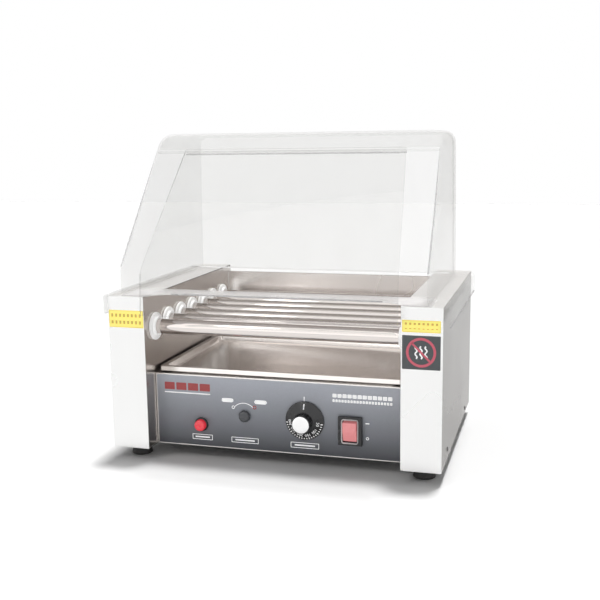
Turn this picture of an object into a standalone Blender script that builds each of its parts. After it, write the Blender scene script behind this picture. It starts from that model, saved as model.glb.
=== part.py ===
"""Hot dog roller grill with a lift-off clear hood and a hinged front door.

Metres, +Z up, front faces -Y. The origin is at the centre of the footprint, on
the table. Layout heights are measured from the bottom of the body, and layout
depths from the front face of the two end towers.
"""
import math

import bmesh
import bpy
from mathutils import Matrix, Vector

# ---- overall size ---------------------------------------------------------
BODY_W = 0.440
TOWER_W = 0.051
TOWER_H = 0.206
TOWER_D = 0.3255
FOOT_H = 0.016
FRONT_Y = -0.1547
SHEET = 0.0012
GAP = 0.0003
BODY_HALF = BODY_W / 2
INNER_X = BODY_HALF - TOWER_W

# ---- rollers and drive ----------------------------------------------------
ROLLERS = 7
ROLLER_R = 0.0098
ROLLER_BORE = 0.0085
ROLLER_Y1 = 0.0325
ROLLER_PITCH = 0.0416
ROLLER_Z = 0.1617
BUSH_FLANGE_R = 0.0185
BUSH_FLANGE_T = 0.0032
BUSH_SLEEVE_R = 0.0125
BUSH_SLEEVE_L = 0.0050
BUSH_BOSS_R = 0.0128
BUSH_BOSS_L = 0.0030
HEATER_R = 0.0032
SPROCKET_TEETH = 10
SPROCKET_TIP_R = 0.0136
SPROCKET_ROOT_R = 0.0112
SPROCKET_X = 0.1782
SPROCKET_T = 0.0030
CHAIN_IN_R = 0.0140
CHAIN_T = 0.0034
MOTOR_Y = ROLLER_Y1 + 3 * ROLLER_PITCH
MOTOR_Z = 0.0720
BRACKET_X = 0.1900
MOTOR_FACE_X = 0.1862

# ---- control box, fascia and tray -----------------------------------------
PANEL_Y = 0.0290
PANEL_TOP = 0.0980
REAR_Y = 0.3160
REAR_TOP = 0.1960
TRAY_Y0 = 0.0350
TRAY_Y1 = 0.2480
TRAY_HALF = 0.1655
TRAY_TOP = 0.1060
TRAY_FLOOR = 0.0993
LAMP_AT = (-0.1040, 0.0310)
ENERGY_AT = (-0.0425, 0.0465)
DIAL_AT = (0.0398, 0.0465)
ROCKER_AT = (0.1003, 0.0375)

# ---- hood and door --------------------------------------------------------
HOOD_T = 0.0024
HOOD_HALF = 0.2004
HOOD_DRAFT = 0.016
HOOD_TOP = 0.4148
HOOD_REAR = 0.2800
HOOD_EDGE_R = 0.0150
SHELF_Z = 0.2090
SKIRT_HALF = 0.2268
HOOD_OFFSET = 0.0033
SKIRT_Z = 0.1830
HOOD_FRONT = -0.0050
BEND_Z = 0.2463
SLOPE = 0.8247
HEADER_Z = 0.3940
HINGE_Y = 0.1131
HINGE_Z = 0.3895
HINGE_R = 0.0015
DOOR_T = 0.0022
DOOR_TOP_HALF = 0.1525
DOOR_HALF = 0.1658
DOOR_BEND = (-0.0195, 0.2437)
DOOR_FOOT = (-0.0240, 0.1860)


def clear_scene():
    for obj in list(bpy.data.objects):
        bpy.data.objects.remove(obj, do_unlink=True)


def new_collection(name, hidden=False):
    coll = bpy.data.collections.new(name)
    bpy.context.scene.collection.children.link(coll)
    coll.hide_render = hidden
    return coll


def ly(depth):
    return FRONT_Y + depth


def lz(height):
    return FOOT_H + height


INLET_AT = (-0.195, ly(TOWER_D), lz(0.045))


def material(name, colour, roughness, metallic, transmission=0.0, emission=0.0):
    mat = bpy.data.materials.new(name)
    mat.use_nodes = True
    shader = mat.node_tree.nodes["Principled BSDF"]
    shader.inputs["Base Color"].default_value = (*colour, 1.0)
    shader.inputs["Roughness"].default_value = roughness
    shader.inputs["Metallic"].default_value = metallic
    shader.inputs["Transmission Weight"].default_value = transmission
    if emission:
        shader.inputs["Emission Color"].default_value = (*colour, 1.0)
        shader.inputs["Emission Strength"].default_value = emission
    return mat


def add_object(name, mesh, mat, coll, smooth=False):
    obj = bpy.data.objects.new(name, mesh)
    coll.objects.link(obj)
    if mat:
        mesh.materials.append(mat)
    for poly in mesh.polygons:
        poly.use_smooth = smooth
    return obj


def shell_mesh(name, verts, faces):
    """An open surface whose faces agree on which side is out."""
    bm = bmesh.new()
    made = [bm.verts.new(v) for v in verts]
    for face in faces:
        bm.faces.new([made[i] for i in face])
    bmesh.ops.recalc_face_normals(bm, faces=bm.faces)
    mesh = bpy.data.meshes.new(name)
    bm.to_mesh(mesh)
    bm.free()
    return mesh


def box(name, x, y, z, mat, coll, bevel=0.0, open_side=None):
    """A block between the pairs x, y and z, in layout depths and heights."""
    low = Vector((x[0], ly(y[0]), lz(z[0])))
    high = Vector((x[1], ly(y[1]), lz(z[1])))
    bm = bmesh.new()
    bmesh.ops.create_cube(bm, size=1.0)
    bmesh.ops.scale(bm, vec=high - low, verts=bm.verts)
    if open_side:
        gone = [f for f in bm.faces if f.normal.dot(Vector(open_side)) > 0.9]
        bmesh.ops.delete(bm, geom=gone, context="FACES_ONLY")
    mesh = bpy.data.meshes.new(name)
    bm.to_mesh(mesh)
    bm.free()
    obj = add_object(name, mesh, mat, coll)
    obj.location = (low + high) / 2
    if bevel:
        add_bevel(obj, bevel)
    return obj


def rods(name, axis, centres, radius, length, coll, segments=16):
    """Plain cylinders along an axis, used to bore or to join."""
    turn = {"X": Matrix.Rotation(math.pi / 2, 4, "Y"), "Y": Matrix.Rotation(math.pi / 2, 4, "X")}[axis]
    bm = bmesh.new()
    for centre in centres:
        bmesh.ops.create_cone(bm, cap_ends=True, segments=segments, radius1=radius, radius2=radius,
                              depth=length, matrix=Matrix.Translation(centre) @ turn)
    mesh = bpy.data.meshes.new(name)
    bm.to_mesh(mesh)
    bm.free()
    return add_object(name, mesh, None, coll)


def add_bevel(obj, width, segments=2):
    mod = obj.modifiers.new("edge", "BEVEL")
    mod.width = width
    mod.segments = segments
    mod.limit_method = "ANGLE"
    mod.angle_limit = math.radians(40)
    mod.use_clamp_overlap = True


def face_out(obj, direction):
    """Turns an open surface so that its widest face looks along a direction."""
    bm = bmesh.new()
    bm.from_mesh(obj.data)
    widest = max(bm.faces, key=lambda f: f.calc_area())
    if widest.normal.dot(Vector(direction)) < 0:
        bmesh.ops.reverse_faces(bm, faces=bm.faces)
    bm.to_mesh(obj.data)
    bm.free()


def add_wall(obj, thickness):
    """Gives an open surface its sheet thickness, towards the inside."""
    mod = obj.modifiers.new("wall", "SOLIDIFY")
    mod.thickness = thickness
    mod.offset = -1.0
    mod.use_even_offset = True


def cut(obj, cutter, union=False):
    mod = obj.modifiers.new("cut", "BOOLEAN")
    mod.operation = "UNION" if union else "DIFFERENCE"
    mod.solver = "EXACT"
    mod.object = cutter
    cutter.display_type = "WIRE"


def outline_solid(name, plane, loops, centre, thickness, mat, coll):
    """Flat outline with optional inner loops, drawn out either side of centre.

    Plane YZ is drawn out along X, XZ along Y and XY along Z.
    """
    curve = bpy.data.curves.new(name, "CURVE")
    curve.dimensions = "2D"
    curve.fill_mode = "BOTH"
    curve.extrude = thickness / 2
    for loop in loops:
        spline = curve.splines.new("POLY")
        spline.points.add(len(loop) - 1)
        for point, (u, v) in zip(spline.points, loop):
            point.co = (u, v, 0.0, 1.0)
        spline.use_cyclic_u = True
    guide = bpy.data.objects.new(name + "_outline", curve)
    bpy.context.scene.collection.objects.link(guide)
    shape = guide.evaluated_get(bpy.context.evaluated_depsgraph_get())
    mesh = bpy.data.meshes.new_from_object(shape)
    mesh.name = name
    bpy.data.objects.remove(guide, do_unlink=True)
    bm = bmesh.new()
    bm.from_mesh(mesh)
    bmesh.ops.remove_doubles(bm, verts=bm.verts, dist=0.00001)
    bmesh.ops.recalc_face_normals(bm, faces=bm.faces)
    bm.to_mesh(mesh)
    bm.free()
    mesh.materials.clear()
    obj = add_object(name, mesh, mat, coll)
    half = math.pi / 2
    obj.rotation_euler = {"YZ": (half, 0.0, half), "XZ": (half, 0.0, 0.0), "XY": (0.0, 0.0, 0.0)}[plane]
    obj.location = centre
    return obj


def prism_x(name, outline, x0, x1, mat, coll):
    """A (depth, height) outline drawn out along X."""
    loop = [(ly(y), lz(z)) for y, z in outline]
    return outline_solid(name, "YZ", [loop], ((x0 + x1) / 2, 0.0, 0.0), x1 - x0, mat, coll)


def circle(u, v, radius, steps=20):
    return [(u + radius * math.cos(2 * math.pi * k / steps), v + radius * math.sin(2 * math.pi * k / steps))
            for k in range(steps)]


def turned(name, axis, centre, profile, mat, coll, segments=24, closed=False):
    """A profile of (along, radius) turned about a line; the object sits on that line.

    A closed profile is a ring section. An open one is closed along the axis.
    """
    pts = [(radius, along) for along, radius in profile]
    if not closed:
        pts = [(0.0, pts[0][1])] + pts + [(0.0, pts[-1][1])]
    area = sum(a[0] * b[1] - b[0] * a[1] for a, b in zip(pts, pts[1:] + pts[:1]))
    if area > 0:
        pts.reverse()
    edges = [(i, i + 1) for i in range(len(pts) - 1)]
    if closed:
        edges.append((len(pts) - 1, 0))
    mesh = bpy.data.meshes.new(name)
    mesh.from_pydata([(r, 0.0, a) for r, a in pts], edges, [])
    obj = add_object(name, mesh, mat, coll)
    screw = obj.modifiers.new("turn", "SCREW")
    screw.axis = "Z"
    screw.steps = segments
    screw.render_steps = segments
    screw.use_merge_vertices = True
    screw.merge_threshold = 0.00001
    screw.use_smooth_shade = True
    half = math.pi / 2
    obj.rotation_euler = {"X": (0.0, half, 0.0), "Y": (-half, 0.0, 0.0), "Z": (0.0, 0.0, 0.0)}[axis]
    obj.location = centre
    return obj


def arc(cy, cz, radius, start, end, steps):
    """Points on a circle, angles in degrees."""
    angles = [math.radians(start + (end - start) * k / steps) for k in range(steps + 1)]
    return [(cy + radius * math.cos(a), cz + radius * math.sin(a)) for a in angles]


def rounded_loop(half_x, y0, y1, radius, z, steps=3):
    """One rounded rectangle of (x, y, z), layout depths."""
    pts = []
    for cx, cy, start in ((half_x - radius, y1 - radius, 0), (radius - half_x, y1 - radius, 90),
                          (radius - half_x, y0 + radius, 180), (half_x - radius, y0 + radius, 270)):
        pts += arc(cx, cy, radius, start, start + 90, steps)
    return [(x, ly(y), lz(z)) for x, y in pts]


def roller_centres(x):
    return [Vector((x, ly(ROLLER_Y1 + k * ROLLER_PITCH), lz(ROLLER_Z))) for k in range(ROLLERS)]


# ---- the body -------------------------------------------------------------
def tower_shell(side, mat, coll):
    """Folded sheet: outer side, front, back, top and bottom, open to the middle."""
    name = "right_tower_shell" if side > 0 else "left_tower_shell"
    xs = sorted((side * INNER_X, side * BODY_HALF))
    shell = box(name, xs, (0.0, TOWER_D), (0.0, TOWER_H), mat, coll, open_side=(-side, 0.0, 0.0))
    add_wall(shell, SHEET)
    return shell


def inner_wall(side, mat, coll):
    """Plate that closes a tower, bored for the roller bushings."""
    name = "right_inner_wall" if side > 0 else "left_inner_wall"
    lip = SHEET + GAP
    y0, y1, z0, z1 = ly(lip), ly(TOWER_D - lip), lz(lip), lz(TOWER_H - lip)
    loops = [[(y0, z0), (y1, z0), (y1, z1), (y0, z1)]]
    loops += [circle(c.y, c.z, BUSH_SLEEVE_R + GAP) for c in roller_centres(0.0)]
    middle = side * (INNER_X + 0.0002 + SHEET / 2)
    outline_solid(name, "YZ", loops, (middle, 0.0, 0.0), SHEET, mat, coll)


def foot(name, x, depth, mat, coll):
    top = FOOT_H - GAP
    profile = [(0.0, 0.0122), (0.0008, 0.0132), (0.0035, 0.0136), (top - 0.001, 0.0142), (top, 0.0136)]
    turned(name, "Z", (x, ly(depth), 0.0), profile, mat, coll, 20)


def control_box(mat, coll):
    """Front plate with a foot lip, a top folded back from it and a lip at the rear."""
    y0 = PANEL_Y
    y1 = y0 + SHEET
    back = REAR_Y - 0.008
    under = PANEL_TOP - SHEET
    outline = [(y0, 0.0), (y0 + 0.012, 0.0), (y0 + 0.012, SHEET), (y1, SHEET), (y1, under),
               (back - SHEET, under), (back - SHEET, 0.072), (back, 0.072), (back, PANEL_TOP), (y0, PANEL_TOP)]
    half = INNER_X - 0.0004
    return prism_x("control_box", outline, -half, half, mat, coll)


def switch_opening():
    x, z = ROCKER_AT
    return (x - 0.0113, x + 0.0113), (z - 0.0153, z + 0.0153)


def control_fascia(mat, coll):
    """Coloured front plate, set inside a narrow bare border."""
    edge = 0.0016
    half = INNER_X - edge - 0.0006
    z0, z1 = lz(edge), lz(PANEL_TOP - edge)
    loops = [[(-half, z0), (half, z0), (half, z1), (-half, z1)]]
    for at, radius in ((LAMP_AT, 0.0072), (ENERGY_AT, 0.0044), (DIAL_AT, 0.0044)):
        loops.append(circle(at[0], lz(at[1]), radius, 16))
    (xa, xb), (za, zb) = switch_opening()
    loops.append([(xa, lz(za)), (xb, lz(za)), (xb, lz(zb)), (xa, lz(zb))])
    outline_solid("control_fascia", "XZ", loops, (0.0, ly(PANEL_Y - 0.00065), 0.0), 0.0007, mat, coll)


def bore_panel(plate, cutters):
    """Openings for the lamp, the two spindles and the switch body."""
    for tag, at, radius in (("lamp", LAMP_AT, 0.0072), ("energy", ENERGY_AT, 0.0044), ("dial", DIAL_AT, 0.0044)):
        centre = Vector((at[0], ly(PANEL_Y), lz(at[1])))
        cut(plate, rods(tag + "_hole", "Y", [centre], radius, 0.02, cutters))
    xs, zs = switch_opening()
    cut(plate, box("switch_hole", xs, (PANEL_Y - 0.01, PANEL_Y + 0.01), zs, None, cutters))


def base_pan(mat, coll):
    """Shallow folded floor between the towers."""
    y0 = PANEL_Y + SHEET + 0.0125
    y1 = REAR_Y - 0.0006
    outline = [(y0, 0.0), (y1, 0.0), (y1, 0.012), (y1 - SHEET, 0.012), (y1 - SHEET, SHEET), (y0, SHEET)]
    half = INNER_X - 0.0004
    prism_x("base_pan", outline, -half, half, mat, coll)


def rear_panel(mat, coll):
    half = INNER_X - 0.0004
    outline = [(REAR_Y, 0.0), (REAR_Y + SHEET, 0.0), (REAR_Y + SHEET, REAR_TOP - SHEET),
               (REAR_Y + 0.008, REAR_TOP - SHEET), (REAR_Y + 0.008, REAR_TOP), (REAR_Y, REAR_TOP)]
    prism_x("rear_panel", outline, -half, half, mat, coll)


def drip_tray(mat, coll):
    """Pressed pan with a turned-down rim."""
    rim = 0.0075
    loops = [rounded_loop(TRAY_HALF, TRAY_Y0, TRAY_Y1, 0.004, TRAY_TOP - 0.0060),
             rounded_loop(TRAY_HALF, TRAY_Y0, TRAY_Y1, 0.004, TRAY_TOP)]
    for inset, z in ((rim, TRAY_TOP), (rim + 0.003, TRAY_FLOOR)):
        loops.append(rounded_loop(TRAY_HALF - inset, TRAY_Y0 + inset, TRAY_Y1 - inset, 0.006, z))
    n = len(loops[0])
    verts = [p for loop in loops for p in loop]
    faces = [tuple(reversed([3 * n + k for k in range(n)]))]
    for a in range(3):
        for k in range(n):
            j = (k + 1) % n
            faces.append((a * n + k, (a + 1) * n + k, (a + 1) * n + j, a * n + j))
    obj = add_object("drip_tray", shell_mesh("drip_tray", verts, faces), mat, coll)
    face_out(obj, (0.0, 0.0, 1.0))
    add_wall(obj, 0.0009)


def cable_inlet(mat, coll):
    """Round grommet in the back of the left tower."""
    profile = [(0.0030, 0.0085), (0.0078, 0.0076), (0.0078, 0.0042), (-0.0040, 0.0042),
               (-0.0040, 0.0062), (0.0003, 0.0062), (0.0003, 0.0085)]
    turned("cable_inlet", "Y", INLET_AT, profile, mat, coll, 16, closed=True)


# ---- rollers, heaters and drive -------------------------------------------
def sprocket_loop(u=0.0, v=0.0):
    """Outline of a toothed wheel."""
    pts = []
    step = 2 * math.pi / SPROCKET_TEETH
    for k in range(SPROCKET_TEETH):
        for share, radius in ((0.0, SPROCKET_ROOT_R), (0.30, SPROCKET_ROOT_R),
                              (0.50, SPROCKET_TIP_R), (0.80, SPROCKET_TIP_R)):
            a = (k + share) * step
            pts.append((u + radius * math.cos(a), v + radius * math.sin(a)))
    return pts


def roller(k, mat, coll, cutters):
    """Hollow roller with its sprocket welded on at the right-hand end."""
    left = -(INNER_X + 0.0075)
    right = SPROCKET_X + SPROCKET_T + 0.0015
    profile = [(left, ROLLER_R - 0.0004), (left + 0.0004, ROLLER_R), (right, ROLLER_R),
               (right, ROLLER_BORE), (left, ROLLER_BORE)]
    at = roller_centres(0.0)[k]
    name = "roller_%d" % (k + 1)
    tube = turned(name, "X", at, profile, mat, coll, 20, closed=True)
    middle = (SPROCKET_X + SPROCKET_T / 2, at.y, at.z)
    wheel = outline_solid(name + "_sprocket", "YZ", [sprocket_loop(), circle(0.0, 0.0, ROLLER_R - 0.0007, 20)],
                          middle, SPROCKET_T, None, cutters)
    cut(tube, wheel, union=True)


def bushing(side, k, mat, coll):
    """Flanged plastic bearing pushed into the tower wall."""
    face = -BUSH_FLANGE_T - GAP
    bore = ROLLER_R + 0.00035
    profile = [(face + 0.0006, BUSH_FLANGE_R), (-GAP, BUSH_FLANGE_R), (-GAP, BUSH_SLEEVE_R),
               (BUSH_SLEEVE_L, BUSH_SLEEVE_R), (BUSH_SLEEVE_L, bore), (face - BUSH_BOSS_L, bore),
               (face - BUSH_BOSS_L, BUSH_BOSS_R - 0.0006), (face - BUSH_BOSS_L + 0.0006, BUSH_BOSS_R),
               (face, BUSH_BOSS_R), (face, BUSH_FLANGE_R - 0.0008)]
    name = "bushing_%s_%d" % ("right" if side > 0 else "left", k + 1)
    at = roller_centres(side * INNER_X)[k]
    turned(name, "X", at, [(side * a, r) for a, r in profile], mat, coll, 18, closed=True)


def heater(k, mat, coll):
    """Sheathed rod along the middle of a roller, with a terminal pin at each end."""
    end = BRACKET_X + 0.006
    profile = [(-end - 0.006, 0.0012), (-end, 0.0012), (-end, HEATER_R),
               (end, HEATER_R), (end, 0.0012), (end + 0.006, 0.0012)]
    turned("heater_%d" % (k + 1), "X", roller_centres(0.0)[k], profile, mat, coll, 10)


def heater_bracket(side, mat, coll, cutters):
    """Channel inside a tower that carries the heater ends."""
    near = side * (INNER_X + 0.0018)
    far = side * BRACKET_X
    skin = side * (BRACKET_X + SHEET)
    y0, y1 = ly(0.0060), ly(0.3100)
    loop = [(near, y0), (skin, y0), (skin, y1), (near, y1),
            (near, y1 - SHEET), (far, y1 - SHEET), (far, y0 + SHEET), (near, y0 + SHEET)]
    name = "heater_bracket_%s" % ("right" if side > 0 else "left")
    bracket = outline_solid(name, "XY", [loop], (0.0, 0.0, lz(ROLLER_Z)), 0.020, mat, coll)
    cut(bracket, rods(name + "_bores", "X", roller_centres(far), HEATER_R + GAP, 0.01, cutters, 12))


def chain_path(radius):
    """Loop over the seven roller sprockets and down round the motor sprocket."""
    first = (ROLLER_Y1, ROLLER_Z)
    last = (ROLLER_Y1 + (ROLLERS - 1) * ROLLER_PITCH, ROLLER_Z)
    fall = math.degrees(math.atan2(ROLLER_Z - MOTOR_Z, last[0] - MOTOR_Y))
    pts = arc(last[0], last[1], radius, 90, fall - 90, 10)
    pts += arc(MOTOR_Y, MOTOR_Z, radius, fall - 90, -90 - fall, 5)
    pts += arc(first[0], first[1], radius, 270 - fall, 90, 10)
    return [(ly(y), lz(z)) for y, z in pts]


def drive_chain(mat, coll):
    loops = [chain_path(CHAIN_IN_R + CHAIN_T), chain_path(CHAIN_IN_R)]
    middle = (SPROCKET_X + SPROCKET_T / 2, 0.0, 0.0)
    outline_solid("drive_chain", "YZ", loops, middle, SPROCKET_T + 0.002, mat, coll)


def gear_motor(mat, coll):
    """Synchronous gear motor with its shaft towards the inner wall."""
    face = MOTOR_FACE_X
    profile = [(SPROCKET_X - 0.002, 0.0028), (face, 0.0028), (face, 0.0290), (face + 0.001, 0.0300),
               (face + 0.0290, 0.0300), (face + 0.0300, 0.0290)]
    turned("gear_motor", "X", (0.0, ly(MOTOR_Y), lz(MOTOR_Z)), profile, mat, coll, 28)


def motor_sprocket(mat, coll):
    loops = [sprocket_loop(), circle(0.0, 0.0, 0.0031, 16)]
    middle = (SPROCKET_X + SPROCKET_T / 2, ly(MOTOR_Y), lz(MOTOR_Z))
    outline_solid("motor_sprocket", "YZ", loops, middle, SPROCKET_T, mat, coll)


def motor_bracket(mat, coll, cutters):
    """Angle that stands on the tower floor and holds the motor face."""
    floor = lz(SHEET + GAP)
    skin = MOTOR_FACE_X - GAP
    inner = skin - 0.0015
    top = lz(MOTOR_Z + 0.034)
    loop = [(0.1722, floor), (skin, floor), (skin, top), (inner, top),
            (inner, floor + 0.0015), (0.1722, floor + 0.0015)]
    bracket = outline_solid("motor_bracket", "XZ", [loop], (0.0, ly(MOTOR_Y), 0.0), 0.072, mat, coll)
    centre = Vector((MOTOR_FACE_X, ly(MOTOR_Y), lz(MOTOR_Z)))
    cut(bracket, rods("motor_bracket_bore", "X", [centre], 0.0040, 0.01, cutters))


# ---- controls -------------------------------------------------------------
def front_turned(name, at, profile, mat, coll, segments=24, closed=False):
    """A turned piece on the panel. Profile distances run out from the panel face."""
    flipped = [(-along, radius) for along, radius in profile]
    return turned(name, "Y", (at[0], ly(PANEL_Y), lz(at[1])), flipped, mat, coll, segments, closed)


def temperature_dial(mat, coll):
    """Wide marked skirt with a round grip standing on it, bored for the spindle."""
    profile = [(0.0016, 0.0250), (0.0030, 0.0258), (0.0040, 0.0254), (0.0075, 0.0185), (0.0082, 0.0136),
               (0.0215, 0.0128), (0.0225, 0.0118), (0.0225, 0.0)]
    profile += [(0.0180, 0.0), (0.0180, 0.0034), (0.0016, 0.0034)]
    front_turned("temperature_dial", DIAL_AT, profile, mat, coll, 36, closed=True)


def spindle_control(name, at, radius, size, reach, mat, coll, cutters):
    """Body behind the panel and its spindle through it, as one solid."""
    half = size / 2
    x, z = at
    body = box(name, (x - half, x + half), (PANEL_Y + SHEET + GAP, PANEL_Y + 0.030), (z - half, z + half), mat, coll)
    middle = Vector((x, ly(PANEL_Y + (0.006 - reach) / 2), lz(z)))
    cut(body, rods(name + "_stem", "Y", [middle], radius, reach + 0.006, cutters, 14), union=True)


def energy_knob(mat, coll):
    profile = [(0.0014, 0.0075), (0.0020, 0.0080), (0.0048, 0.0077), (0.0064, 0.0063), (0.0071, 0.0036),
               (0.0071, 0.0), (0.0050, 0.0), (0.0050, 0.0028), (0.0014, 0.0028)]
    front_turned("energy_knob", ENERGY_AT, profile, mat, coll, 24, closed=True)


def pilot_lamp(lens, dark, coll):
    bezel = [(0.0013, 0.0096), (0.0030, 0.0096), (0.0042, 0.0088), (0.0042, 0.0080), (0.0018, 0.0080),
             (0.0018, 0.0068), (-0.0200, 0.0068), (-0.0200, 0.0052), (0.0013, 0.0052)]
    front_turned("pilot_lamp_bezel", LAMP_AT, bezel, dark, coll, 24, closed=True)
    dome = [(0.0022, 0.0076), (0.0070, 0.0076), (0.0092, 0.0066), (0.0104, 0.0046), (0.0108, 0.0020)]
    front_turned("pilot_lamp_lens", LAMP_AT, dome, lens, coll, 24)


def rocker_housing(mat, coll, cutters):
    """Framed switch body that passes through the panel, with a well for the rocker."""
    x, z = ROCKER_AT
    y = PANEL_Y - 0.0013
    housing = box("rocker_housing", (x - 0.0156, x + 0.0156), (y - 0.0042, y), (z - 0.0188, z + 0.0188), mat, coll)
    body = box("rocker_body", (x - 0.0108, x + 0.0108), (y - 0.0010, y + 0.0240),
               (z - 0.0148, z + 0.0148), None, cutters)
    well = box("rocker_well", (x - 0.0094, x + 0.0094), (y - 0.0100, y + 0.0100),
               (z - 0.0142, z + 0.0142), None, cutters)
    cut(housing, body, union=True)
    cut(housing, well)


def rocker(mat, coll):
    """Rocker pressed in at the bottom, its pivot on the object's origin."""
    x, z = ROCKER_AT
    loop = [(0.0020, -0.0126), (-0.0044, -0.0132), (-0.0082, 0.0), (-0.0090, 0.0122), (0.0020, 0.0132)]
    at = (x, ly(PANEL_Y - 0.0013), lz(z))
    outline_solid("rocker", "YZ", [loop], at, 0.0180, mat, coll)


# ---- hood and door --------------------------------------------------------
def hood_front(height):
    return HOOD_FRONT + max(0.0, height - BEND_Z) * SLOPE


def hood_half_profile(inset):
    """(half width, height, follows the front slope) from the roof centre to the skirt."""
    top_half = HOOD_HALF - (HOOD_TOP - SHELF_Z) * HOOD_DRAFT
    radius = HOOD_EDGE_R
    cx, cz = top_half - radius, HOOD_TOP - radius
    pts = [(0.0, HOOD_TOP - inset)]
    pts += [(p[0], p[1]) for p in arc(cx, cz, radius - inset, 90, 0, 4)]
    for z in (HEADER_Z, 0.32, BEND_Z, SHELF_Z + 0.0040):
        pts.append((HOOD_HALF - (z - SHELF_Z) * HOOD_DRAFT - inset, z))
    foot_x = HOOD_HALF - inset
    pts += [(foot_x + 0.0012, SHELF_Z + 0.0012), (foot_x + 0.0040, SHELF_Z)]
    pts += [(SKIRT_HALF - 0.0040, SHELF_Z), (SKIRT_HALF - 0.0012, SHELF_Z - 0.0012)]
    pts += [(SKIRT_HALF, SHELF_Z - 0.0040), (SKIRT_HALF, SKIRT_Z)]
    return pts


def hood_ring(inset, share, depth):
    """One arch of the hood. share 0 lies on the front edge, share 1 at the given depth."""
    half = hood_half_profile(inset)
    both = [(-x, z) for x, z in reversed(half[1:])] + half
    ring = []
    for x, z in both:
        front = hood_front(z)
        ring.append((x, ly(front + (depth - front) * share), lz(z)))
    return ring


def hood(mat, coll, cutters):
    """Thermoformed cover: two walls, roof, back, a shelf and skirt over each tower."""
    radius = 0.0140
    flat = HOOD_REAR - radius
    rings = [hood_ring(0.0, 0.0, flat), hood_ring(0.0, 0.5, flat), hood_ring(0.0, 1.0, flat)]
    for k in range(1, 5):
        a = math.radians(22.5 * k)
        rings.append(hood_ring(radius * (1 - math.cos(a)), 1.0, flat + radius * math.sin(a)))
    n = len(rings[0])
    verts = [p for ring in rings for p in ring]
    faces = []
    for r in range(len(rings) - 1):
        for k in range(n - 1):
            faces.append((r * n + k, r * n + k + 1, (r + 1) * n + k + 1, (r + 1) * n + k))
    last = (len(rings) - 1) * n
    skirt, wall = 4, 9
    faces.append(tuple(last + k for k in range(skirt, n - skirt)))
    faces.append(tuple(reversed(range(wall, n - wall))))
    obj = add_object("hood", shell_mesh("hood", verts, faces), mat, coll)
    face_out(obj, (0.0, 1.0, 0.0))
    add_wall(obj, HOOD_T)
    cut(obj, front_strip(cutters), union=True)


def front_strip(cutters):
    """Tie across the foot of the opening, cut back in a curve between the towers."""
    half = HOOD_HALF + 0.0026
    side = [(half, 0.0520), (half, HOOD_FRONT + 0.0010), (0.1720, HOOD_FRONT + 0.0010),
            (0.1660, 0.0005), (0.1600, 0.0090), (0.1500, 0.0155), (0.1400, 0.0175)]
    loop = [(x, ly(y)) for x, y in side + [(-x, y) for x, y in reversed(side)]]
    middle = (0.0, 0.0, lz(SHELF_Z - HOOD_T / 2))
    return outline_solid("hood_strip", "XY", [loop], middle, HOOD_T - 0.0002, None, cutters)


def door_path():
    """Door sheet from its roll round the rod, down the slope, then down the front."""
    roll = HINGE_R + 0.0004 + DOOR_T
    bend = Vector(DOOR_BEND)
    hinge = Vector((HINGE_Y, HINGE_Z))
    slope = (bend - hinge).normalized()
    out = math.degrees(math.atan2(-slope.x, slope.y))
    pts = arc(HINGE_Y, HINGE_Z, roll, out - 240, out, 10)
    drop = (Vector(DOOR_FOOT) - bend).normalized()
    for share in (0.0, 0.33, 0.67, 1.0):
        start = bend - slope * 0.012 * (1 - share)
        end = bend + drop * 0.012 * share
        mixed = start * (1 - share) + end * share
        pts.append((mixed.x, mixed.y))
    return pts + [DOOR_FOOT]


def door_half(height):
    share = min(max((height - DOOR_BEND[1]) / (HINGE_Z - DOOR_BEND[1]), 0.0), 1.0)
    return DOOR_HALF + (DOOR_TOP_HALF - DOOR_HALF) * share


def front_door(mat, coll):
    """Bent clear sheet that hangs from the rod, its outer face drawn and thickened inwards."""
    path = door_path()
    verts = []
    for y, z in path:
        half = door_half(z)
        verts += [(-half, y - HINGE_Y, z - HINGE_Z), (half, y - HINGE_Y, z - HINGE_Z)]
    faces = [(2 * i, 2 * i + 1, 2 * i + 3, 2 * i + 2) for i in range(len(path) - 1)]
    obj = add_object("front_door", shell_mesh("front_door", verts, faces), mat, coll)
    face_out(obj, (0.0, -1.0, 0.0))
    add_wall(obj, DOOR_T)
    obj.location = (0.0, ly(HINGE_Y), lz(HINGE_Z))


def hinge_rod(mat, coll):
    half = HOOD_HALF - (HINGE_Z - SHELF_Z) * HOOD_DRAFT - HOOD_T - 0.0005
    centre = (0.0, ly(HINGE_Y), lz(HINGE_Z))
    turned("door_hinge_rod", "X", centre, [(-half, HINGE_R), (half, HINGE_R)], mat, coll, 12)


# ---- assembly -------------------------------------------------------------
def build_body(mats, parts, cutters):
    for side in (-1, 1):
        shell = tower_shell(side, mats["steel"].copy(), parts)
        if side < 0:
            centre = Vector((INLET_AT[0], INLET_AT[1], INLET_AT[2]))
            cut(shell, rods("inlet_hole", "Y", [centre], 0.0065, 0.02, cutters))
        inner_wall(side, mats["inner_steel"].copy(), parts)
        heater_bracket(side, mats["zinc"].copy(), parts, cutters)
        for end, depth in (("front", 0.032), ("rear", 0.294)):
            name = "foot_%s_%s" % (end, "right" if side > 0 else "left")
            foot(name, side * (BODY_HALF - TOWER_W / 2), depth, mats["rubber"].copy(), parts)
    bore_panel(control_box(mats["inner_steel"].copy(), parts), cutters)
    control_fascia(mats["slate"], parts)
    base_pan(mats["zinc"].copy(), parts)
    rear_panel(mats["inner_steel"].copy(), parts)
    drip_tray(mats["inner_steel"].copy(), parts)
    cable_inlet(mats["rubber"].copy(), parts)


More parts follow.
